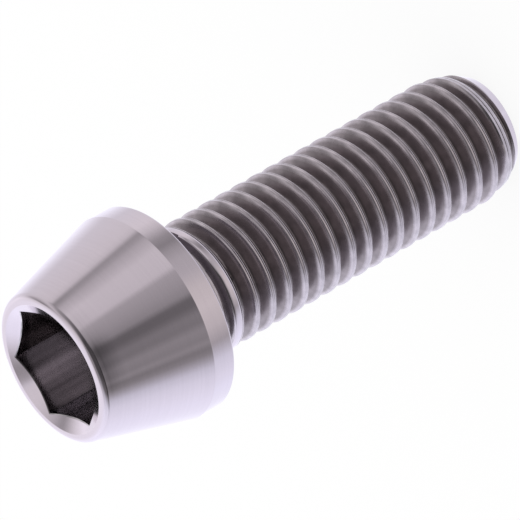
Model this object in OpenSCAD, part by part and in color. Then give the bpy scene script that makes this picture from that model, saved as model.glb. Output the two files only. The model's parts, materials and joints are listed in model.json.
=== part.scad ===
// Tapered-head socket cap screw, metric M10 x 1.5 x 30, right-hand thread.
// One piece of bright metal: the head is headed and turned, the hexagon punched, the thread rolled.
// It stands on its flat tip with the head up. The origin is the centre of the tip face, +Z is the axis.

/* [Head] */
// Diameter of the straight collar next to the seat
collar_d = 15.8; // [14:0.1:20]
// Height of the straight collar
collar_h = 1.8; // [1:0.1:3]
// Height of the whole head above the seat
head_h = 9.9; // [9:0.1:14]
// Rounding of the collar's edge at the seat
seat_edge_r = 0.15; // [0.1:0.05:0.6]
// Rounding of the head's top edge
top_edge_r = 0.4; // [0.1:0.05:0.5]
// Width of the ring between the top edge and the mouth
ring_w = 0.7; // [0.5:0.05:1.2]

/* [Socket] */
// Width of the hexagon across its flats
hex_af = 8; // [6:0.1:8.5]
// Depth from the top of the head to the end of the hexagon's flats
hex_depth = 5.2; // [3:0.1:6]
// How far the countersunk mouth stands outside the hexagon's corners
mouth_margin = 0.38; // [0.1:0.02:0.6]
// Full angle of the countersunk mouth
mouth_angle = 120; // [80:5:130]
// Full angle of the drilled point below the hexagon
drill_angle = 120; // [110:2:150]

/* [Thread] */
// Diameter over the thread's crests
thread_d = 9.9; // [8:0.1:12]
// Rise of the thread in one turn
thread_pitch = 1.5; // [1:0.25:1.75]
// Full angle between the thread's flanks
flank_angle = 60; // [50:1:60]
// Rounding height at the thread's crest and root
thread_round = 0.08; // [0.02:0.01:0.1]
// Turn of the thread about the axis, from a corner of the hexagon
thread_turn = 40; // [0:5:355]
// Length from the seat to the tip
length = 30.3; // [16:0.1:60]

/* [Neck and tip] */
// Diameter of the plain neck between the seat and the thread
neck_d = 8.9; // [8:0.1:9.4]
// Length of the plain neck
neck_l = 1.6; // [1.2:0.1:5]
// Fillet where the neck meets the seat
neck_fillet = 0.4; // [0.1:0.05:0.6]
// Length over which the thread fades out towards the neck
runout_l = 0.6; // [0.4:0.1:2]
// How much wider the crest is on the last turn before the neck
last_land = 0.55; // [0:0.05:0.6]
// Diameter of the flat tip face
tip_d = 7.7; // [5:0.1:8]
// Angle of the tip's chamfer to the tip face
tip_chamfer_angle = 60; // [30:1:70]
// Length from the tip over which the crests rise to their full height
lead_l = 3; // [1:0.1:6]
// How much lower the crests would be at the tip face
lead_drop = 0.75; // [0:0.05:1]

/* [Facets] */
// Flat sides in one turn of the thread
thread_sides = 36; // [24:1:40]

/* [Hidden] */
$fn = 96;

// Metric thread: the rolled depth as a share of the pitch
depth_per_pitch = 0.6134;
// Overlap that lets one cut or body run into the next
bite = 0.2;

collar_r = collar_d / 2;
hex_corner_r = hex_af / 2 / cos(30);
mouth_r = hex_corner_r + mouth_margin;
mouth_depth = mouth_r / tan(mouth_angle / 2);
head_top_r = mouth_r + ring_w;
taper_angle = atan((collar_r - head_top_r) / (head_h - collar_h));
// Centre of the top edge's rounding, which touches the taper and the top
top_edge_x = head_top_r - top_edge_r * (1 - sin(taper_angle)) / cos(taper_angle);
drill_h = hex_af / 2 / tan(drill_angle / 2);

seat_z = length;
top_z = seat_z + head_h;
thread_l = length - neck_l;
neck_r = neck_d / 2;

crest_r = thread_d / 2;
thread_depth = depth_per_pitch * thread_pitch;
root_r = crest_r - thread_depth;
flank_run = (thread_depth - 2 * thread_round) * tan(flank_angle / 2);
land_w = (thread_pitch - 2 * flank_run) / 2;
tip_r = tip_d / 2;

// One pitch of the thread, from root to root, as [height, radius]
thread_profile = [
    [0, root_r],
    [land_w / 2, root_r + thread_round],
    [thread_pitch / 2 - land_w / 2, crest_r - thread_round],
    [thread_pitch / 2, crest_r],
    [thread_pitch / 2 + land_w / 2, crest_r - thread_round],
    [thread_pitch - land_w / 2, root_r + thread_round],
];
profile_n = len(thread_profile);
// Place of the crest in the profile
crest_n = 3;
// Height at which the last turn before the run-out begins
last_turn_z = thread_l - bite - runout_l - thread_pitch;
// One spare turn lies below the tip and one above the neck, so that every column reaches both ends
rows = profile_n * (ceil(thread_l / thread_pitch) + 2);
// The threaded shank ends in a polygon that just holds the round neck
shank_end_r = (neck_r + thread_round) / cos(180 / thread_sides);

// Height of a thread point before it is held between the tip and the neck.
// The column is the point's place round the axis, the row counts the profile's points upwards.
function free_z(column, row) =
    thread_pitch * (floor(row / profile_n) - 1 + column / thread_sides) + thread_profile[row % profile_n][0];

// Share of the thread's form that is left at a height: it fades to none just below the neck
function thread_share(z) = max(0, min(1, (thread_l - bite - z) / runout_l));

// Share of the last turn's wider crest, for a crest at the given height
function land_share(crest_z) = max(0, min(1, (crest_z - last_turn_z) / (thread_pitch / 4)));

// Radius of the full thread at a row, with the wider crest of the last turn
function full_r(column, row) =
    let (
        turn = floor((row - crest_n) / profile_n),
        crest_z = thread_pitch * (turn - 1 + column / thread_sides) + thread_profile[crest_n][0],
        beyond = free_z(column, row) - crest_z - last_land * land_share(crest_z)
    )
    max(thread_profile[row % profile_n][1], crest_r - max(0, beyond) / tan(flank_angle / 2));

// Radius of the shank at a height, where the full thread would have the given radius
function shank_r(z, thread_r) =
    min(
        tip_r + z * tan(90 - tip_chamfer_angle),
        max(tip_r, crest_r - lead_drop * (1 - z / lead_l)),
        shank_end_r + (thread_r - shank_end_r) * thread_share(z)
    );

function thread_point(column, row) =
    let (
        z = max(0, min(thread_l, free_z(column, row))),
        r = z <= 0 ? tip_r : shank_r(z, full_r(column, row)),
        angle = 360 * column / thread_sides
    )
    [r * cos(angle), r * sin(angle), z];

// First and last rows of a column that are used: all rows beyond them fall on the same end point
function first_row(column) = max([for (row = [0:rows]) if (free_z(column, row) <= 0) row]);
function last_row(column) = min([for (row = [0:rows]) if (free_z(column, row) >= thread_l) row]);

// Solid shank with its helical thread, from the tip face to the neck
module threaded_shank() {
    firsts = [for (column = [0:thread_sides - 1]) first_row(column)];
    lasts = [for (column = [0:thread_sides - 1]) last_row(column)];
    points = [
        for (column = [0:thread_sides - 1]) for (row = [0:rows]) thread_point(column, row)
    ];
    // Place of a point in the list, with the spare rows held at the ends of their column
    function place(column, row) = column * (rows + 1) + max(firsts[column], min(lasts[column], row));
    // After a full turn the next column is the first one, a whole pitch higher
    function beside(column, row) =
        column + 1 < thread_sides ? place(column + 1, row) : place(0, row + profile_n);
    walls = [
        for (column = [0:thread_sides - 1])
        for (row = [0:rows - profile_n - 1])
        let (
            low = place(column, row),
            high = place(column, row + 1),
            low_beside = beside(column, row),
            high_beside = beside(column, row + 1)
        )
        each [
            if (low != low_beside && low_beside != high_beside) [low, high_beside, low_beside],
            if (low != high) [low, high, high_beside],
        ]
    ];
    tip_face = [for (column = [0:thread_sides - 1]) place(column, 0)];
    neck_face = [for (column = [thread_sides - 1:-1:0]) place(column, rows)];
    polyhedron(points = points, faces = concat([tip_face], [neck_face], walls), convexity = 10);
}

// Half section of the head and neck as (radius, height), to be turned about the axis
module head_section() {
    difference() {
        union() {
            // Collar with its rounded edge at the seat
            translate([0, seat_z]) square([collar_r - seat_edge_r, collar_h]);
            translate([0, seat_z + seat_edge_r]) square([collar_r, collar_h - seat_edge_r]);
            translate([collar_r - seat_edge_r, seat_z + seat_edge_r]) circle(seat_edge_r);
            // Tapered part up to the rounded top edge
            polygon([
                [0, seat_z + collar_h],
                [collar_r, seat_z + collar_h],
                [
                    top_edge_x + top_edge_r * cos(taper_angle),
                    top_z - top_edge_r + top_edge_r * sin(taper_angle),
                ],
                [top_edge_x, top_z],
                [0, top_z],
            ]);
            translate([top_edge_x, top_z - top_edge_r]) circle(top_edge_r);
            // Neck, run a little way into the threaded shank
            translate([0, thread_l - bite]) square([neck_r, neck_l + 2 * bite]);
            // Block that the neck's fillet is cut from
            translate([0, seat_z - neck_fillet]) square([neck_r + neck_fillet, neck_fillet + bite]);
        }
        translate([neck_r + neck_fillet, seat_z - neck_fillet]) circle(neck_fillet);
    }
}

// Hexagon with its countersunk mouth and drilled point
module socket_cut() {
    translate([0, 0, top_z - hex_depth]) cylinder(r = hex_corner_r, h = hex_depth + bite, $fn = 6);
    translate([0, 0, top_z - hex_depth - drill_h]) cylinder(r1 = 0, r2 = hex_af / 2, h = drill_h);
    translate([0, 0, top_z - mouth_depth]) cylinder(r1 = 0, r2 = mouth_r, h = mouth_depth);
    translate([0, 0, top_z]) cylinder(r = mouth_r, h = bite);
}

module screw() {
    color("silver") {
        difference() {
            rotate_extrude() head_section();
            socket_cut();
        }
        rotate(thread_turn) threaded_shank();
    }
}

screw();
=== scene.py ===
"""Dresses the tapered-head socket cap screw: one turned, punched and thread-rolled piece of bare metal."""

import json
import logging
import math
from collections.abc import Callable
from dataclasses import dataclass, field
from enum import Enum

import bmesh
import bpy
from mathutils import Matrix, Vector


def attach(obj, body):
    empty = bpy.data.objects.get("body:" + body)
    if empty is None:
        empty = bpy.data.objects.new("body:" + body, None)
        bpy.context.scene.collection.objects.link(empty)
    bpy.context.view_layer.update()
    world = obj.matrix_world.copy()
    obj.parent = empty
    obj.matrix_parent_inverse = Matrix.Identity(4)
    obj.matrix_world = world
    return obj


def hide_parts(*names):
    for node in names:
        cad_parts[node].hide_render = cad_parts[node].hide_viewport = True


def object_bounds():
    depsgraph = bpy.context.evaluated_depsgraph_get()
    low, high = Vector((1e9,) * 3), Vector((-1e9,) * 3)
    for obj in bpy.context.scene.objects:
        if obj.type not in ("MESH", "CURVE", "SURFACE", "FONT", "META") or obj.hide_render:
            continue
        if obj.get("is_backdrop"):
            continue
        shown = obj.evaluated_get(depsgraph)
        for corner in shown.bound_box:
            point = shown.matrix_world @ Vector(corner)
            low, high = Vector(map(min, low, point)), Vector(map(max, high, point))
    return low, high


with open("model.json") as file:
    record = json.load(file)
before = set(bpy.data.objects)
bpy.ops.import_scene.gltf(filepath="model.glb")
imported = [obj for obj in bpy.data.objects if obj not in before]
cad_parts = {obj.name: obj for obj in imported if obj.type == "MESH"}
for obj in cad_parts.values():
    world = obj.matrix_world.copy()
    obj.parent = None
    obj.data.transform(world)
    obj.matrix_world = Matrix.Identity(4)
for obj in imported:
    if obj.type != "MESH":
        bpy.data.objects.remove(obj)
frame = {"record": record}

log = logging.getLogger("tapered_screw")

MM = 0.001
BODY = "root"
NODE = "screw"

# Flat sides round the axis, the same for the head and the shank so that their open rings can be bridged
SIDES = 144
# Length of the plain neck in millimetres, and the short stretch of it that bridges the shank and the head
NECK_L = 1.6
NECK_BRIDGE = 0.05

WHITE = (1.0, 1.0, 1.0, 1.0)
# The two whites that the light tent's panels are mixed from
NEUTRAL_LIGHT = (1.0, 0.965, 0.99)
COOL_LIGHT = (0.965, 0.98, 1.1)

Colour = tuple[float, float, float]
Outline = list[tuple[float, float]]


class Zone(Enum):
    """The parts of the screw's surface that are made in different ways, and the seat's underside and neck
    fillet, painted dark as shade.
    """

    TURNED = 0
    PUNCHED = 1
    ROLLED = 2
    DRILLED = 3
    # The seat's underside and the neck's fillet: their dark colour is painted shade between head and thread
    UNDERSIDE = 4
    COUNTERSUNK = 5


def arc(centre: tuple[float, float], radius: float, start: float, end: float, steps: int) -> Outline:
    """Points of an arc in the half section.

    Args:
        centre: Radius and height of the arc's centre.
        radius: The arc's own radius.
        start: First angle in degrees, from the outward radius towards the head.
        end: Last angle in degrees.
        steps: Number of straight steps.

    Returns:
        The points as (radius, height), in order.
    """
    angles = [math.radians(start + (end - start) * i / steps) for i in range(steps + 1)]
    return [(centre[0] + radius * math.cos(a), centre[1] + radius * math.sin(a)) for a in angles]


def smoothstep(share: float) -> float:
    """Eases a share from 0 to 1 with level ends."""
    held = max(0.0, min(1.0, share))
    return held * held * (3.0 - 2.0 * held)


def soft_min(first: float, second: float, blend: float) -> float:
    """The smaller of two lengths, eased from one to the other where they differ by less than the blend."""
    near = max(0.0, 1.0 - abs(first - second) / blend)
    return min(first, second) - near * near * blend / 4


def soft_max(first: float, second: float, blend: float) -> float:
    """The larger of two lengths, eased from one to the other where they differ by less than the blend."""
    return -soft_min(-first, -second, blend)


def mount_height(name: str) -> float:
    """Height of one of the record's mounts, in millimetres.

    Args:
        name: The mount's name.

    Returns:
        The mount's height above the tip face.
    """
    mounts = {mount["name"]: mount for mount in frame["record"]["mounts"]}
    return mounts[name]["pos_m"][2] / MM


def trace(name: str, outline: Outline) -> bpy.types.Object:
    """Draws a half section as a chain of edges, point by point.

    Args:
        name: The new object's name.
        outline: Points as (radius, height) in millimetres.

    Returns:
        An object that holds the chain in the XZ plane.
    """
    bpy.ops.object.select_all(action="DESELECT")
    first_radius, first_height = outline[0]
    bpy.ops.mesh.primitive_plane_add(size=MM, location=(0.0, 0.0, 0.0))
    chain = bpy.context.object
    chain.name = name
    bpy.ops.object.mode_set(mode="EDIT")
    bpy.ops.mesh.select_all(action="SELECT")
    bpy.ops.mesh.merge(type="CENTER")
    bpy.ops.transform.translate(value=(first_radius * MM, 0.0, first_height * MM))
    for (radius, height), (next_radius, next_height) in zip(outline, outline[1:]):
        step = ((next_radius - radius) * MM, 0.0, (next_height - height) * MM)
        bpy.ops.mesh.extrude_vertices_move(TRANSFORM_OT_translate={"value": step})
    bpy.ops.object.mode_set(mode="OBJECT")
    return chain


def reshape(piece: bpy.types.Object, move: Callable[[float, float, float], tuple[float, float]]) -> None:
    """Moves every point of a piece within its own half section.

    Args:
        piece: The object to reshape.
        move: Takes a point's angle in radians, radius and height in millimetres, and gives its new radius
            and height.
    """
    for vertex in piece.data.vertices:
        x, y, z = vertex.co
        angle = math.atan2(y, x)
        radius, height = move(angle, math.hypot(x, y) / MM, z / MM)
        vertex.co = (radius * MM * math.cos(angle), radius * MM * math.sin(angle), height * MM)
    piece.data.update()


@dataclass
class TaperedHead:
    """The conical head with its collar, seat, neck and hexagon socket, in millimetres."""

    sides: int
    seat_z: float
    top_z: float
    collar_r: float
    neck_end_z: float
    neck_r: float = 4.45
    neck_fillet: float = 0.4
    seat_edge_r: float = 0.15
    collar_h: float = 1.8
    collar_edge_r: float = 0.12
    top_edge_r: float = 0.55
    # Slight curve of the cone just below its top edge: its radius, and how far it turns in degrees
    crown_r: float = 38.0
    crown_angle: float = 2.6
    ring_w: float = 0.7
    hex_af: float = 8.0
    hex_depth: float = 5.2
    mouth_margin: float = 0.38
    mouth_angle: float = 120.0
    mouth_edge_r: float = 0.07
    scallop_edge: float = 0.05
    drill_angle: float = 120.0
    # Distance of the extra loops that hold the shading beside a rounded edge
    hold: float = 0.03
    # Distance within which points count as one
    weld: float = 0.003
    # Straight steps in an edge's rounding, in a fine one and in the crown
    edge_steps: int = 8
    fine_steps: int = 4
    crown_steps: int = 6

    @property
    def hex_corner_r(self) -> float:
        """Radius through the hexagon's corners."""
        return self.hex_af / 2 / math.cos(math.pi / 6)

    @property
    def mouth_r(self) -> float:
        """Radius of the countersunk mouth at the top of the head."""
        return self.hex_corner_r + self.mouth_margin

    @property
    def mouth_slope(self) -> float:
        """Fall of the countersunk mouth for each millimetre towards the axis."""
        return 1.0 / math.tan(math.radians(self.mouth_angle / 2))

    def outer_outline(self) -> Outline:
        """Half section from the neck over the seat and the taper to the top ring.

        Returns:
            Points as (radius, height).
        """
        fillet_at = (self.neck_r + self.neck_fillet, self.seat_z - self.neck_fillet)
        seat_edge_at = (self.collar_r - self.seat_edge_r, self.seat_z + self.seat_edge_r)
        head_top_r = self.mouth_r + self.ring_w
        collar_top = self.seat_z + self.collar_h
        taper = math.atan2(self.collar_r - head_top_r, self.top_z - collar_top)
        turn = math.degrees(taper)
        edge_back = self.collar_edge_r * math.tan(taper / 2)
        collar_edge_at = (self.collar_r - self.collar_edge_r, collar_top - edge_back)
        # The crown's arc leaves the cone without a kink and runs into the top edge's rounding
        crown_turn = taper + math.radians(self.crown_angle)
        crown_back = self.crown_r - self.top_edge_r
        crown_depth = self.crown_r - crown_back * math.cos(crown_turn - taper)
        top_edge_at = (
            head_top_r - (crown_depth - self.top_edge_r * math.sin(taper)) / math.cos(taper),
            self.top_z - self.top_edge_r,
        )
        crown_at = (
            top_edge_at[0] - crown_back * math.cos(crown_turn),
            top_edge_at[1] - crown_back * math.sin(crown_turn),
        )
        collar_edge = arc(collar_edge_at, self.collar_edge_r, 0.0, turn, self.fine_steps)
        crown = arc(crown_at, self.crown_r, turn, math.degrees(crown_turn), self.crown_steps)
        top_edge = arc(top_edge_at, self.top_edge_r, math.degrees(crown_turn), 90.0, self.edge_steps)
        along = (-math.sin(taper) * self.hold, math.cos(taper) * self.hold)
        outline = [(self.neck_r, self.neck_end_z), (self.neck_r, fillet_at[1] - self.hold)]
        outline += arc(fillet_at, self.neck_fillet, 180.0, 90.0, self.edge_steps)
        outline += [(fillet_at[0] + self.hold, self.seat_z), (seat_edge_at[0] - self.hold, self.seat_z)]
        outline += arc(seat_edge_at, self.seat_edge_r, -90.0, 0.0, self.edge_steps)
        outline += [(self.collar_r, seat_edge_at[1] + self.hold)]
        outline += [(self.collar_r, collar_edge_at[1] - self.hold)]
        outline += collar_edge
        outline += [(collar_edge[-1][0] + along[0], collar_edge[-1][1] + along[1])]
        outline += crown[:-1]
        outline += [(top_edge[0][0] - along[0], top_edge[0][1] - along[1])]
        outline += top_edge
        outline += [(top_edge[-1][0] - self.hold, self.top_z)]
        return outline

    def socket_outline(self) -> Outline:
        """Half section of the socket through a corner of the hexagon, from the mouth to the drilled point.

        Returns:
            Points as (radius, height).
        """
        half = math.radians(self.mouth_angle / 2)
        edge_back = self.mouth_edge_r * math.tan((math.pi / 2 - half) / 2)
        edge_at = (self.mouth_r + edge_back, self.top_z - self.mouth_edge_r)
        mouth_edge = arc(
            edge_at, self.mouth_edge_r, 90.0, 180.0 - self.mouth_angle / 2, self.fine_steps
        )
        floor_z = self.top_z - self.hex_depth
        drill_r = self.hex_af / 2 - self.hold
        drill_z = floor_z - drill_r / math.tan(math.radians(self.drill_angle / 2))
        wall = self.hex_corner_r
        scallop_z = self.scallop_z(wall)
        outline = [(edge_at[0] + self.hold, self.top_z)]
        outline += mouth_edge
        outline += [(mouth_edge[-1][0] - self.hold, mouth_edge[-1][1] - self.hold * self.mouth_slope)]
        for out in (self.scallop_edge + self.hold, self.scallop_edge):
            outline += [(wall + out, scallop_z + out * self.mouth_slope)]
        for down in (self.scallop_edge, self.scallop_edge + self.hold):
            outline += [(wall, scallop_z - down)]
        outline += [(wall, floor_z), (drill_r, floor_z), (0.0, drill_z)]
        return outline

    def scallop_z(self, wall: float) -> float:
        """Height of the countersunk mouth at a radius, where it meets a wall of the hexagon."""
        return self.top_z - (self.mouth_r - wall) * self.mouth_slope

    def hexagon_r(self, angle: float) -> float:
        """Radius of the hexagon's wall at an angle from one of its corners."""
        from_flat = angle % (math.pi / 3) - math.pi / 6
        return self.hex_af / 2 / math.cos(from_flat)

    def punch(self, angle: float, radius: float, height: float) -> tuple[float, float]:
        """Takes a turned point of the socket to its place on the hexagon.

        Args:
            angle: The point's angle about the axis, in radians.
            radius: Its radius as turned.
            height: Its height as turned.

        Returns:
            Its radius and height on the punched hexagon.
        """
        wall = self.hexagon_r(angle)
        corner_z = self.scallop_z(self.hex_corner_r)
        floor_z = self.top_z - self.hex_depth
        if height > self.top_z or radius > self.hex_corner_r + self.scallop_edge + self.hold + self.weld:
            return radius, height
        if radius < self.hex_corner_r - self.weld or height < floor_z - self.weld:
            return radius, height
        if height < floor_z + self.weld:
            return wall, height
        return radius - self.hex_corner_r + wall, height - corner_z + self.scallop_z(wall)

    def build(self) -> bpy.types.Object:
        """Turns the head's section about the axis, then punches the hexagon.

        Returns:
            The head, open at the lower end of its neck.
        """
        head = trace("head", self.outer_outline() + self.socket_outline())
        bpy.ops.object.mode_set(mode="EDIT")
        bpy.ops.mesh.select_all(action="SELECT")
        bpy.ops.mesh.spin(
            steps=self.sides, angle=math.tau, center=(0.0, 0.0, 0.0), axis=(0.0, 0.0, 1.0)
        )
        bpy.ops.mesh.select_all(action="SELECT")
        bpy.ops.mesh.remove_doubles(threshold=self.weld * MM)
        bpy.ops.object.mode_set(mode="OBJECT")
        reshape(head, self.punch)
        return head


@dataclass
class RolledShank:
    """The shank with its rolled right-hand thread and chamfered tip, in millimetres."""

    sides: int
    end_z: float
    neck_r: float
    crest_r: float = 4.95
    pitch: float = 1.5
    depth: float = 0.92
    flank_angle: float = 60.0
    root_round: float = 0.16
    crest_round: float = 0.07
    # The seam that rolling leaves along the crest, and how far below the crest's middle it lies
    seam_w: float = 0.075
    seam_depth: float = 0.04
    seam_below: float = 0.045
    lead_round: float = 0.13
    turn: float = 40.0
    runout_l: float = 0.6
    plain_l: float = 0.2
    # The wider crest of the last turn, and how deep a face may lie and still belong to it
    last_land: float = 0.64
    land_round: float = 0.38
    land_drop: float = 0.23
    groove_round: float = 0.2
    tip_r: float = 3.85
    tip_chamfer_angle: float = 60.0
    lead_l: float = 3.0
    lead_drop: float = 0.75
    # Shares of the thread's depth between which painted shade turns its tone dark, and other points along the
    # flank
    dark_from: float = 0.14
    dark_to: float = 0.36
    flank_points: tuple[float, float] = (0.72, 0.54)
    # Stretch below the shank's end that is left free of the painted root shade
    bright_neck_l: float = 0.55
    # Distance within which points count as one, and the same where a cut passes a point
    weld: float = 0.002
    cut_weld: float = 0.0002
    # How near the chamfer a face lies that belongs to it
    chamfer_reach: float = 0.01
    arc_steps: int = 4
    # Turns beyond the shank's length, so that both ends can be cut off square
    spare_turns: int = 3

    @property
    def root_r(self) -> float:
        """Radius of the thread's roots."""
        return self.crest_r - self.depth

    @property
    def flank_slope(self) -> float:
        """Height that a flank gains for each millimetre of radius."""
        return math.tan(math.radians(self.flank_angle / 2))

    @property
    def last_turn_z(self) -> float:
        """Height at which the thread's last turn begins."""
        return self.end_z - self.plain_l - self.runout_l - self.pitch

    def half_pitch(self) -> Outline:
        """Half section of the thread from the middle of a root to the flat of the crest.

        Returns:
            Points as (radius, height above the middle of the root).
        """
        lean = 90.0 - self.flank_angle / 2
        middle_r = self.root_r + self.root_round
        root = [
            (2.0 * middle_r - radius, height)
            for radius, height in arc((middle_r, 0.0), self.root_round, 0.0, lean, self.arc_steps)
        ]
        start_r = self.crest_r - self.crest_round * (1.0 - math.cos(math.radians(lean)))
        rise = (start_r - root[-1][0]) * self.flank_slope
        crest_z = root[-1][1] + rise + self.crest_round * math.sin(math.radians(lean))
        crest_at = (self.crest_r - self.crest_round, crest_z)
        crest = arc(crest_at, self.crest_round, -lean, 0.0, self.arc_steps)
        flank = []
        for depth in (*self.flank_points, self.dark_to, self.dark_from):
            up = self.crest_r - self.depth * depth - root[-1][0]
            flank += [(root[-1][0] + up, root[-1][1] + up * self.flank_slope)]
        return root + flank + crest

    def pitch_outline(self) -> Outline:
        """Half section of one whole pitch, root to root, a full turn below the tip.

        Returns:
            Points as (radius, height).
        """
        half = self.half_pitch()
        mirrored = [(radius, self.pitch - height) for radius, height in reversed(half)]
        at = self.pitch / 2 - self.seam_below
        seam = [
            (self.crest_r, at - self.seam_w / 2),
            (self.crest_r - self.seam_depth, at),
            (self.crest_r, at + self.seam_w / 2),
        ]
        start = -self.pitch * (1.0 + self.turn / 360.0)
        return [(radius, start + height) for radius, height in half + seam + mirrored]

    def form(self, angle: float, radius: float, height: float) -> tuple[float, float]:
        """Widens the last crest, fades the thread out at the neck and cuts it back at the tip.

        Args:
            angle: The point's angle about the axis, in radians.
            radius: Its radius on the full thread.
            height: Its height.

        Returns:
            Its radius on the finished shank, and its height.
        """
        from_seam = abs(self.above_crest(angle, height) - self.pitch + self.seam_below)
        seam = self.seam_depth if from_seam < self.weld else 0.0
        led_in = soft_min(radius, self.lead_r(height) - seam, self.lead_round)
        widened = max(led_in, self.last_crest_r(angle, height))
        if height > self.last_turn_z:
            widened = soft_max(widened, self.groove_r(height), self.groove_round)
        faded = self.neck_r + (widened - self.neck_r) * self.thread_share(height)
        # The spare turns below the tip face keep a radius of their own until they are cut off
        return max(min(faded, self.chamfer_r(height)), self.tip_r / 2), height

    def last_crest_r(self, angle: float, height: float) -> float:
        """Radius of the wider crest that the thread has on its last turn, above the crest's middle.

        Args:
            angle: A point's angle about the axis, in radians.
            height: Its height.

        Returns:
            The radius that the wide crest and its flank reach there.
        """
        above = self.above_crest(angle, height)
        quarter_turn = self.pitch / 4
        share = smoothstep((height - above - self.last_turn_z) / quarter_turn)
        if share == 0.0:
            return 0.0
        fall = (above - self.last_land * share) / self.flank_slope
        return self.crest_r + soft_min(0.0, -fall, self.land_round * share)

    def groove_r(self, height: float) -> float:
        """Radius of the groove on the last turn, where its root rises to the neck."""
        half_turn = self.pitch / 2
        rise = smoothstep((height - self.last_turn_z) / half_turn - 1.0)
        return self.root_r + (self.neck_r - self.root_r) * rise

    def above_crest(self, angle: float, height: float) -> float:
        """Height of a point above the crest next below it.

        Args:
            angle: The point's angle about the axis, in radians.
            height: Its height.

        Returns:
            The height above the middle of that crest, less than a pitch.
        """
        first_crest = self.pitch * (0.5 - self.turn / 360.0 + angle / math.tau)
        return (height - first_crest) % self.pitch

    def thread_share(self, height: float) -> float:
        """Share of the thread's form that is left at a height: it fades to none just below the neck."""
        return smoothstep((self.end_z - self.plain_l - height) / self.runout_l)

    def lead_r(self, height: float) -> float:
        """Radius that the crests reach at a height: they are cut back near the tip."""
        return self.crest_r - self.lead_drop * max(0.0, 1.0 - height / self.lead_l)

    def chamfer_r(self, height: float) -> float:
        """Radius of the tip's chamfer at a height."""
        return self.tip_r + height / math.tan(math.radians(self.tip_chamfer_angle))

    def painted_root_shade(self, radius: float, height: float) -> float:
        """Paints shade into the thread's roots, apart from its crests and the plain neck.

        Args:
            radius: A point's radius.
            height: Its height.

        Returns:
            0 on the crests and the neck, rising to 1 of painted shade in the root.
        """
        below = (self.lead_r(height) - radius) / self.depth
        dark = smoothstep((below - self.dark_from) / (self.dark_to - self.dark_from))
        return dark * smoothstep((self.end_z - self.bright_neck_l - height) / (self.runout_l / 2))

    def on_land(self, angle: float, radius: float, height: float) -> bool:
        """Tells whether a point lies on the smooth land of the last turn.

        Args:
            angle: The point's angle about the axis, in radians.
            radius: Its radius.
            height: Its height.

        Returns:
            True on the wide crest.
        """
        above = self.above_crest(angle, height)
        on_last_turn = height - above > self.last_turn_z
        return on_last_turn and above < self.last_land and radius > self.crest_r - self.land_drop

    def on_tip(self, radius: float, height: float) -> bool:
        """Tells whether a point lies on the tip's turned face or chamfer.

        Args:
            radius: The point's radius.
            height: Its height.

        Returns:
            True on the tip face and its chamfer.
        """
        return height < self.weld or abs(radius - self.chamfer_r(height)) < self.chamfer_reach

    def build(self) -> bpy.types.Object:
        """Winds the thread's section into a helix, forms both ends and closes the tip.

        Returns:
            The shank, open where it meets the neck.
        """
        shank = trace("shank", self.pitch_outline())
        winding = shank.modifiers.new("winding", "SCREW")
        winding.axis = "Z"
        winding.angle = math.tau
        winding.screw_offset = self.pitch * MM
        winding.iterations = math.ceil(self.end_z / self.pitch) + self.spare_turns
        winding.steps = self.sides
        winding.render_steps = self.sides
        winding.use_merge_vertices = False
        bpy.ops.object.modifier_apply(modifier=winding.name)
        bpy.ops.object.mode_set(mode="EDIT")
        bpy.ops.mesh.select_all(action="SELECT")
        bpy.ops.mesh.remove_doubles(threshold=self.weld * MM)
        bpy.ops.object.mode_set(mode="OBJECT")
        reshape(shank, self.form)
        bpy.ops.object.mode_set(mode="EDIT")
        bpy.ops.mesh.select_all(action="SELECT")
        bpy.ops.mesh.bisect(
            plane_co=(0.0, 0.0, 0.0), plane_no=(0.0, 0.0, 1.0), use_fill=True, clear_inner=True,
            threshold=self.cut_weld * MM,
        )
        bpy.ops.mesh.select_all(action="SELECT")
        bpy.ops.mesh.bisect(
            plane_co=(0.0, 0.0, self.end_z * MM), plane_no=(0.0, 0.0, 1.0), clear_outer=True,
            threshold=self.cut_weld * MM,
        )
        bpy.ops.object.mode_set(mode="OBJECT")
        return shank


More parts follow.
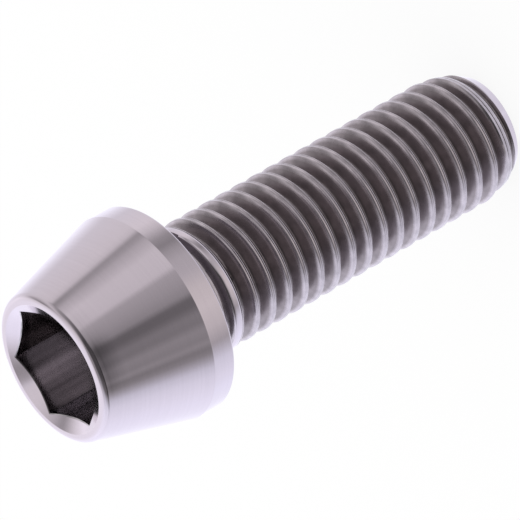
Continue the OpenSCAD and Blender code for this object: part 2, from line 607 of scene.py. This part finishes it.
@dataclass(frozen=True)
class BareMetal:
    """One finish of the bare metal: its colours, its gloss and the fine marks that its making left."""

    name: str
    colour: Colour
    roughness: float
    marks_per_mm: tuple[float, float, float]
    mark_height: float
    tone_spread: float
    # Painted shade and gloss in the thread's roots, where they differ: the darker root tone stands for shade
    painted_shade_colour: Colour | None = None
    root_roughness: float | None = None
    noise_range: tuple[float, float] = (0.3, 0.7)
    noise_detail: float = 3.0
    bump_strength: float = 0.35

    def material(self) -> bpy.types.Material:
        """Builds the finish from a tone that darkens with the thread's depth as painted shade, and from fine
        marks.

        Returns:
            The material.
        """
        made = bpy.data.materials.new(self.name)
        made.use_nodes = True
        nodes, links = made.node_tree.nodes, made.node_tree.links
        metal = nodes["Principled BSDF"]
        metal.inputs["Metallic"].default_value = 1.0
        # The thread's painted root shade darkens the tone from the finish's colour towards its darker root
        # colour
        depth = nodes.new("ShaderNodeAttribute")
        depth.attribute_name = "painted_root_shade"
        tone = nodes.new("ShaderNodeMix")
        tone.data_type = "RGBA"
        tone.inputs["A"].default_value = (*self.colour, 1.0)
        tone.inputs["B"].default_value = (*(self.painted_shade_colour or self.colour), 1.0)
        rough = nodes.new("ShaderNodeMapRange")
        rough.inputs["To Min"].default_value = self.roughness
        rough.inputs["To Max"].default_value = self.root_roughness or self.roughness
        marks = self.marks(nodes, links)
        spread = nodes.new("ShaderNodeMapRange")
        spread.inputs["From Min"].default_value = self.noise_range[0]
        spread.inputs["From Max"].default_value = self.noise_range[1]
        spread.inputs["To Min"].default_value = 1.0 - self.tone_spread
        spread.inputs["To Max"].default_value = 1.0 + self.tone_spread
        marked = nodes.new("ShaderNodeVectorMath")
        marked.operation = "SCALE"
        bump = nodes.new("ShaderNodeBump")
        bump.inputs["Strength"].default_value = self.bump_strength
        bump.inputs["Distance"].default_value = self.mark_height * MM
        links.new(depth.outputs["Fac"], tone.inputs["Factor"])
        links.new(depth.outputs["Fac"], rough.inputs["Value"])
        links.new(marks, spread.inputs["Value"])
        links.new(tone.outputs["Result"], marked.inputs[0])
        links.new(spread.outputs["Result"], marked.inputs["Scale"])
        links.new(marks, bump.inputs["Height"])
        links.new(marked.outputs["Vector"], metal.inputs["Base Color"])
        links.new(rough.outputs["Result"], metal.inputs["Roughness"])
        links.new(bump.outputs["Normal"], metal.inputs["Normal"])
        return made

    def marks(self, nodes: bpy.types.Nodes, links: bpy.types.NodeLinks) -> bpy.types.NodeSocket:
        """Adds the noise of the fine marks, drawn out along the way the tool went.

        Args:
            nodes: The material's nodes.
            links: The material's links.

        Returns:
            The socket that gives the marks' height.
        """
        place = nodes.new("ShaderNodeTexCoord")
        stretch = nodes.new("ShaderNodeMapping")
        stretch.inputs["Scale"].default_value = tuple(count / MM for count in self.marks_per_mm)
        noise = nodes.new("ShaderNodeTexNoise")
        noise.inputs["Scale"].default_value = 1.0
        noise.inputs["Detail"].default_value = self.noise_detail
        links.new(place.outputs["Object"], stretch.inputs["Vector"])
        links.new(stretch.outputs["Vector"], noise.inputs["Vector"])
        return noise.outputs["Fac"]


FINISHES = {
    Zone.TURNED: BareMetal(
        name="turned_metal", colour=(0.66, 0.6, 0.65), roughness=0.085,
        marks_per_mm=(0.15, 0.15, 7.0), mark_height=0.0012, tone_spread=0.015,
    ),
    Zone.PUNCHED: BareMetal(
        name="punched_metal", colour=(0.45, 0.425, 0.435), roughness=0.1,
        marks_per_mm=(0.8, 0.8, 0.03), mark_height=0.004, tone_spread=0.6,
    ),
    # The rolled thread's darker root colour is painted shade in its grooves
    Zone.ROLLED: BareMetal(
        name="rolled_metal", colour=(0.52, 0.476, 0.505), roughness=0.18,
        marks_per_mm=(1.4, 1.4, 2.6), mark_height=0.004, tone_spread=0.14,
        painted_shade_colour=(0.29, 0.257, 0.267), root_roughness=0.3,
    ),
    Zone.DRILLED: BareMetal(
        name="drilled_metal", colour=(0.42, 0.385, 0.4), roughness=0.2,
        marks_per_mm=(0.1, 0.1, 8.0), mark_height=0.003, tone_spread=0.12,
    ),
    # Painted shade: the seat's underside and neck fillet are painted near black to stand for the shade
    # between head and thread
    Zone.UNDERSIDE: BareMetal(
        name="seat_painted_shade", colour=(0.16, 0.14, 0.15), roughness=0.36,
        marks_per_mm=(0.1, 0.1, 5.0), mark_height=0.004, tone_spread=0.1,
    ),
    Zone.COUNTERSUNK: BareMetal(
        name="countersunk_metal", colour=(0.66, 0.6, 0.65), roughness=0.16,
        marks_per_mm=(0.15, 0.15, 7.0), mark_height=0.0012, tone_spread=0.015,
    ),
}


@dataclass
class TaperedScrew:
    """The whole screw: its head and shank welded into one closed piece."""

    head: TaperedHead
    shank: RolledShank
    smooth_angle: float = 32.0
    piece: bpy.types.Object | None = field(init=False, default=None)

    def build(self) -> bpy.types.Object:
        """Builds the head and the shank and joins them at the neck.

        Returns:
            The finished piece.
        """
        head = self.head.build()
        shank = self.shank.build()
        bpy.ops.object.select_all(action="DESELECT")
        head.select_set(True)
        shank.select_set(True)
        bpy.context.view_layer.objects.active = head
        bpy.ops.object.join()
        self.piece = head
        self.piece.name = "tapered_head_screw"
        self.piece.data.name = "tapered_head_screw"
        self.close_neck()
        bpy.ops.object.shade_smooth_by_angle(angle=math.radians(self.smooth_angle))
        return self.piece

    def close_neck(self) -> None:
        """Bridges the two open rings at the neck and turns all faces outwards."""
        bpy.ops.object.mode_set(mode="EDIT")
        bpy.ops.mesh.select_mode(type="EDGE")
        bpy.ops.mesh.select_all(action="DESELECT")
        edit = bmesh.from_edit_mesh(self.piece.data)
        for edge in edit.edges:
            edge.select_set(edge.is_boundary)
        bmesh.update_edit_mesh(self.piece.data)
        bpy.ops.mesh.bridge_edge_loops()
        bpy.ops.mesh.select_all(action="SELECT")
        bpy.ops.mesh.normals_make_consistent(inside=False)
        bpy.ops.mesh.select_mode(type="VERT")
        bpy.ops.object.mode_set(mode="OBJECT")

    def zone_of(self, centre: Vector) -> Zone:
        """Tells how a face is made from where it lies.

        Args:
            centre: The face's centre, in metres.

        Returns:
            The face's zone.
        """
        head, shank = self.head, self.shank
        radius, height = math.hypot(centre.x, centre.y) / MM, centre.z / MM
        if height < head.seat_z - head.neck_fillet:
            on_land = shank.on_land(math.atan2(centre.y, centre.x), radius, height)
            return Zone.TURNED if on_land or shank.on_tip(radius, height) else Zone.ROLLED
        # Faces under the seat and round the neck's fillet, which get painted shade
        if height < head.seat_z + head.hold and radius < head.collar_r - head.seat_edge_r:
            return Zone.UNDERSIDE
        if height < head.top_z - head.hex_depth + head.hold and radius < head.hex_af / 2:
            return Zone.DRILLED
        if radius < head.hex_corner_r and height < head.scallop_z(radius):
            return Zone.PUNCHED
        return Zone.COUNTERSUNK if radius < head.mouth_r else Zone.TURNED

    def dress(self) -> None:
        """Gives each zone its finish, and each point its painted root shade from its depth in the thread."""
        mesh = self.piece.data
        mesh.materials.clear()
        for zone in Zone:
            mesh.materials.append(FINISHES[zone].material())
        for face in mesh.polygons:
            face.material_index = self.zone_of(face.center).value
        # Painted shade for the thread's roots, stored on each point
        depth = mesh.attributes.new("painted_root_shade", "FLOAT", "POINT")
        for vertex, value in zip(mesh.vertices, depth.data):
            if vertex.co.z <= self.shank.end_z * MM:
                radius = math.hypot(vertex.co.x, vertex.co.y) / MM
                value.value = self.shank.painted_root_shade(radius, vertex.co.z / MM)

    def place(self) -> None:
        """Ties the piece to the frame in place of the plain solid."""
        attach(self.piece, BODY)
        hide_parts(NODE)


@dataclass(frozen=True)
class PhotoCamera:
    """The photograph's camera: a long lens that looks down on the screw, rolled about its own axis."""

    image_px: float = 520.0
    focal_px: float = 8000.0
    sensor_mm: float = 36.0
    azimuth: float = -3.25
    elevation: float = 30.01
    roll: float = -119.69
    seat_px: tuple[float, float] = (160.56, 308.33)
    seat_depth_mm: float = 557.92
    nearest_m: float = 0.01
    farthest_m: float = 50.0

    def build(self, seat_z: float) -> bpy.types.Object:
        """Adds the camera so that the centre of the seat falls on its pixel.

        Args:
            seat_z: Height of the seat above the tip, in millimetres.

        Returns:
            The camera.
        """
        lens = bpy.data.cameras.new("photo_camera")
        lens.sensor_width = self.sensor_mm
        lens.lens = self.focal_px / self.image_px * self.sensor_mm
        lens.clip_start = self.nearest_m
        lens.clip_end = self.farthest_m
        camera = bpy.data.objects.new("photo_camera", lens)
        bpy.context.scene.collection.objects.link(camera)
        turn = (
            Matrix.Rotation(math.radians(self.azimuth), 3, "Z")
            @ Matrix.Rotation(math.radians(90.0 - self.elevation), 3, "X")
            @ Matrix.Rotation(math.radians(self.roll), 3, "Z")
        )
        scale = self.seat_depth_mm / self.focal_px
        seat_seen = Vector((
            (self.seat_px[0] - self.image_px / 2) * scale,
            (self.image_px / 2 - self.seat_px[1]) * scale,
            -self.seat_depth_mm,
        ))
        place = Vector((0.0, 0.0, seat_z)) - turn @ seat_seen
        camera.matrix_world = Matrix.Translation(place * MM) @ turn.to_4x4()
        bpy.context.scene.camera = camera
        return camera


@dataclass(frozen=True)
class Panel:
    """One spot on a ring of the light tent: where it is, how bright, and how cool its white is."""

    azimuth: float
    level: float
    cool: float = 0.0

    def colour(self) -> tuple[float, float, float, float]:
        """The spot's light: a neutral white that turns to a cool white, or to a warm one below zero."""
        red, green, blue = (a + (b - a) * self.cool for a, b in zip(NEUTRAL_LIGHT, COOL_LIGHT))
        return self.level * red, self.level * green, self.level * blue, 1.0


@dataclass(frozen=True)
class Ring:
    """A ring of the light tent at one elevation, its spots in order of azimuth from -180 to 180 degrees."""

    elevation: float
    panels: tuple[Panel, ...]


@dataclass(frozen=True)
class LightTent:
    """The studio's light tent: white all round, with the camera's dark opening and some grey panels."""

    front_azimuth: float
    rings: tuple[Ring, ...]

    def ramp(self, nodes: bpy.types.Nodes, ring: Ring) -> bpy.types.Node:
        """Makes the colours of one ring.

        Args:
            nodes: The world's nodes.
            ring: The ring.

        Returns:
            A colour ramp that runs once round the ring.
        """
        ramp = nodes.new("ShaderNodeValToRGB")
        stops = ramp.color_ramp.elements
        while len(stops) < len(ring.panels):
            stops.new(1.0)
        for stop, panel in zip(stops, ring.panels):
            stop.position = (panel.azimuth + 180.0) / 360.0
            stop.color = panel.colour()
        return ramp

    def shell(self, nodes: bpy.types.Nodes, links: bpy.types.NodeLinks) -> bpy.types.NodeSocket:
        """Blends the rings into one shell, by the direction that a ray leaves in.

        Args:
            nodes: The world's nodes.
            links: The world's links.

        Returns:
            The socket that gives the shell's colour.
        """
        place = nodes.new("ShaderNodeTexCoord")
        face = nodes.new("ShaderNodeVectorRotate")
        face.rotation_type = "Z_AXIS"
        face.inputs["Angle"].default_value = math.radians(180.0 - self.front_azimuth)
        parts = nodes.new("ShaderNodeSeparateXYZ")
        azimuth = nodes.new("ShaderNodeMath")
        azimuth.operation = "ARCTAN2"
        share = nodes.new("ShaderNodeMapRange")
        share.inputs["From Min"].default_value = -math.pi
        share.inputs["From Max"].default_value = math.pi
        links.new(place.outputs["Generated"], face.inputs["Vector"])
        links.new(face.outputs["Vector"], parts.inputs["Vector"])
        links.new(parts.outputs["X"], azimuth.inputs[0])
        links.new(parts.outputs["Y"], azimuth.inputs[1])
        links.new(azimuth.outputs["Value"], share.inputs["Value"])
        ramps = [self.ramp(nodes, ring) for ring in self.rings]
        for ramp in ramps:
            links.new(share.outputs["Result"], ramp.inputs["Fac"])
        shell = ramps[0].outputs["Color"]
        for below, ring, ramp in zip(self.rings, self.rings[1:], ramps[1:]):
            rise = nodes.new("ShaderNodeMapRange")
            rise.inputs["From Min"].default_value = math.sin(math.radians(below.elevation))
            rise.inputs["From Max"].default_value = math.sin(math.radians(ring.elevation))
            blend = nodes.new("ShaderNodeMix")
            blend.data_type = "RGBA"
            links.new(parts.outputs["Z"], rise.inputs["Value"])
            links.new(rise.outputs["Result"], blend.inputs["Factor"])
            links.new(shell, blend.inputs["A"])
            links.new(ramp.outputs["Color"], blend.inputs["B"])
            shell = blend.outputs["Result"]
        return shell

    def build(self) -> bpy.types.World:
        """Builds the world: white to the camera and to plain surfaces, the tent to reflections.

        Returns:
            The world.
        """
        world = bpy.data.worlds.new("light_tent")
        bpy.context.scene.world = world
        world.use_nodes = True
        nodes, links = world.node_tree.nodes, world.node_tree.links
        nodes.clear()
        out = nodes.new("ShaderNodeOutputWorld")
        light = nodes.new("ShaderNodeBackground")
        ray = nodes.new("ShaderNodeLightPath")
        pick = nodes.new("ShaderNodeMix")
        pick.data_type = "RGBA"
        pick.inputs["A"].default_value = WHITE
        links.new(ray.outputs["Is Glossy Ray"], pick.inputs["Factor"])
        links.new(self.shell(nodes, links), pick.inputs["B"])
        links.new(pick.outputs["Result"], light.inputs["Color"])
        links.new(light.outputs["Background"], out.inputs["Surface"])
        return world


@dataclass(frozen=True)
class StudioFloor:
    """The plain white floor that the screw stands on."""

    width_m: float = 8.0
    shadow_share: float = 0.14

    def build(self) -> bpy.types.Object:
        """Adds the floor: white to the camera, with the screw's soft shadow.

        Returns:
            The floor.
        """
        bpy.ops.object.select_all(action="DESELECT")
        bpy.ops.mesh.primitive_plane_add(size=self.width_m, location=(0.0, 0.0, 0.0))
        floor = bpy.context.object
        floor.name = "floor"
        white = bpy.data.materials.new("white_floor")
        white.use_nodes = True
        nodes, links = white.node_tree.nodes, white.node_tree.links
        nodes.clear()
        out = nodes.new("ShaderNodeOutputMaterial")
        cloth = nodes.new("ShaderNodeBsdfDiffuse")
        cloth.inputs["Color"].default_value = WHITE
        glow = nodes.new("ShaderNodeEmission")
        ray = nodes.new("ShaderNodeLightPath")
        seen = nodes.new("ShaderNodeMath")
        seen.operation = "MULTIPLY"
        seen.inputs[1].default_value = 1.0 - self.shadow_share
        blend = nodes.new("ShaderNodeMixShader")
        links.new(ray.outputs["Is Camera Ray"], seen.inputs[0])
        links.new(seen.outputs["Value"], blend.inputs["Fac"])
        links.new(cloth.outputs["BSDF"], blend.inputs[1])
        links.new(glow.outputs["Emission"], blend.inputs[2])
        links.new(blend.outputs["Shader"], out.inputs["Surface"])
        floor.data.materials.append(white)
        floor.visible_glossy = False
        floor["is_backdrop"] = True
        return floor


# The tent from below upwards. Azimuth 0 is the camera's side, and 90 is about the screw's -X side.
RINGS = (
    Ring(-65.0, (
        Panel(-180.0, 1.05, 0.8), Panel(-60.0, 0.85, 0.7), Panel(60.0, 0.88, 0.8), Panel(180.0, 1.05, 0.8),
    )),
    Ring(-30.0, (
        Panel(-180.0, 1.2, 0.8), Panel(-150.0, 1.15, 0.8), Panel(-126.0, 0.87, 0.4), Panel(-112.0, 0.9, 0.2),
        Panel(-92.0, 0.92), Panel(-80.0, 0.76), Panel(-66.0, 0.42), Panel(-56.0, 0.32), Panel(-48.0, 0.44),
        Panel(-36.0, 0.56), Panel(-20.0, 0.6), Panel(0.0, 0.75, -0.4), Panel(20.0, 0.81, -0.4),
        Panel(42.0, 0.71, -0.3), Panel(60.0, 0.51), Panel(66.0, 0.62, 0.5), Panel(80.0, 0.93, 1.0),
        Panel(100.0, 1.08, 1.0), Panel(120.0, 1.18, 1.2), Panel(180.0, 1.2, 0.8),
    )),
    Ring(0.0, (
        Panel(-180.0, 1.25, 0.5), Panel(-150.0, 1.1, 0.5), Panel(-128.0, 0.85, 0.2), Panel(-90.0, 0.8),
        Panel(-84.0, 0.75), Panel(-78.0, 0.35), Panel(-73.0, 0.45), Panel(-68.0, 0.6), Panel(-53.0, 0.8),
        Panel(-30.0, 0.75), Panel(-24.0, 0.5), Panel(-11.0, 0.45), Panel(0.0, 0.4), Panel(6.0, 0.2),
        Panel(13.0, 0.2), Panel(22.0, 0.3), Panel(30.0, 0.27), Panel(38.0, 0.35), Panel(47.0, 0.3),
        Panel(52.0, 0.35), Panel(58.0, 0.25), Panel(64.0, 0.3), Panel(71.0, 0.5, 0.5), Panel(79.0, 0.8, 1.0),
        Panel(90.0, 1.0, 1.0), Panel(110.0, 1.15, 1.0), Panel(150.0, 1.3, 1.0), Panel(180.0, 1.25, 0.5),
    )),
    Ring(9.0, (
        Panel(-180.0, 1.2, 0.5), Panel(-150.0, 1.1, 0.5), Panel(-128.0, 0.85, 0.2), Panel(-90.0, 0.8),
        Panel(-78.0, 0.35), Panel(-68.0, 0.55), Panel(-53.0, 0.7), Panel(-30.0, 0.6), Panel(-20.0, 0.45),
        Panel(-9.0, 0.3), Panel(2.0, 0.05), Panel(67.0, 0.02), Panel(76.0, 0.2), Panel(84.0, 0.35, 1.0),
        Panel(95.0, 0.85, 1.0), Panel(110.0, 1.1, 1.0), Panel(150.0, 1.3, 1.0), Panel(180.0, 1.2, 0.5),
    )),
    Ring(20.0, (
        Panel(-180.0, 1.15, 0.5), Panel(-150.0, 1.25, 0.4), Panel(-141.0, 1.05, 0.3), Panel(-125.0, 0.6),
        Panel(-95.0, 0.8), Panel(-75.0, 0.42), Panel(-40.0, 0.2), Panel(-12.0, 0.08), Panel(45.0, 0.08),
        Panel(70.0, 0.2), Panel(95.0, 1.1, 1.0), Panel(150.0, 1.35, 1.0), Panel(180.0, 1.15, 0.5),
    )),
    Ring(45.0, (
        Panel(-180.0, 1.1, 0.5), Panel(-142.0, 0.85), Panel(-134.0, 0.5), Panel(-128.0, 0.25),
        Panel(-122.0, 0.35), Panel(-95.0, 0.75), Panel(-75.0, 0.42), Panel(-40.0, 0.2), Panel(-12.0, 0.08),
        Panel(45.0, 0.08), Panel(70.0, 0.2), Panel(95.0, 0.9, 1.0), Panel(130.0, 1.2, 1.0),
        Panel(180.0, 1.1, 0.5),
    )),
    Ring(60.0, (
        Panel(-180.0, 1.1, 0.5), Panel(-117.0, 0.67), Panel(-65.0, 0.6), Panel(-15.0, 0.1), Panel(45.0, 0.1),
        Panel(95.0, 0.6, 0.5), Panel(117.0, 0.8, 0.5), Panel(130.0, 1.05, 0.5), Panel(180.0, 1.1, 0.5),
    )),
    Ring(75.0, (
        Panel(-180.0, 1.0, 0.5), Panel(-105.0, 0.88), Panel(-40.0, 0.7), Panel(-15.0, 0.42), Panel(30.0, 0.4),
        Panel(105.0, 0.31), Panel(130.0, 0.6), Panel(180.0, 1.0, 0.5),
    )),
)


def main() -> None:
    """Builds the screw, the studio and the camera."""
    logging.basicConfig(level=logging.INFO, format="%(message)s")
    cad_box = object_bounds()
    seat_z, top_z = mount_height("seat"), mount_height("hexagon_socket")
    shank_end_z = seat_z - NECK_L
    head = TaperedHead(
        sides=SIDES, seat_z=seat_z, top_z=top_z, collar_r=cad_box[1].x / MM,
        neck_end_z=shank_end_z + NECK_BRIDGE,
    )
    screw = TaperedScrew(head, RolledShank(sides=SIDES, end_z=shank_end_z, neck_r=head.neck_r))
    piece = screw.build()
    screw.dress()
    screw.place()
    log.info("%s: %d faces", piece.name, len(piece.data.polygons))
    camera = PhotoCamera()
    camera.build(seat_z)
    StudioFloor().build()
    LightTent(camera.azimuth, RINGS).build()
    bpy.context.scene.view_settings.view_transform = "Standard"


if __name__ == "__main__":
    main()
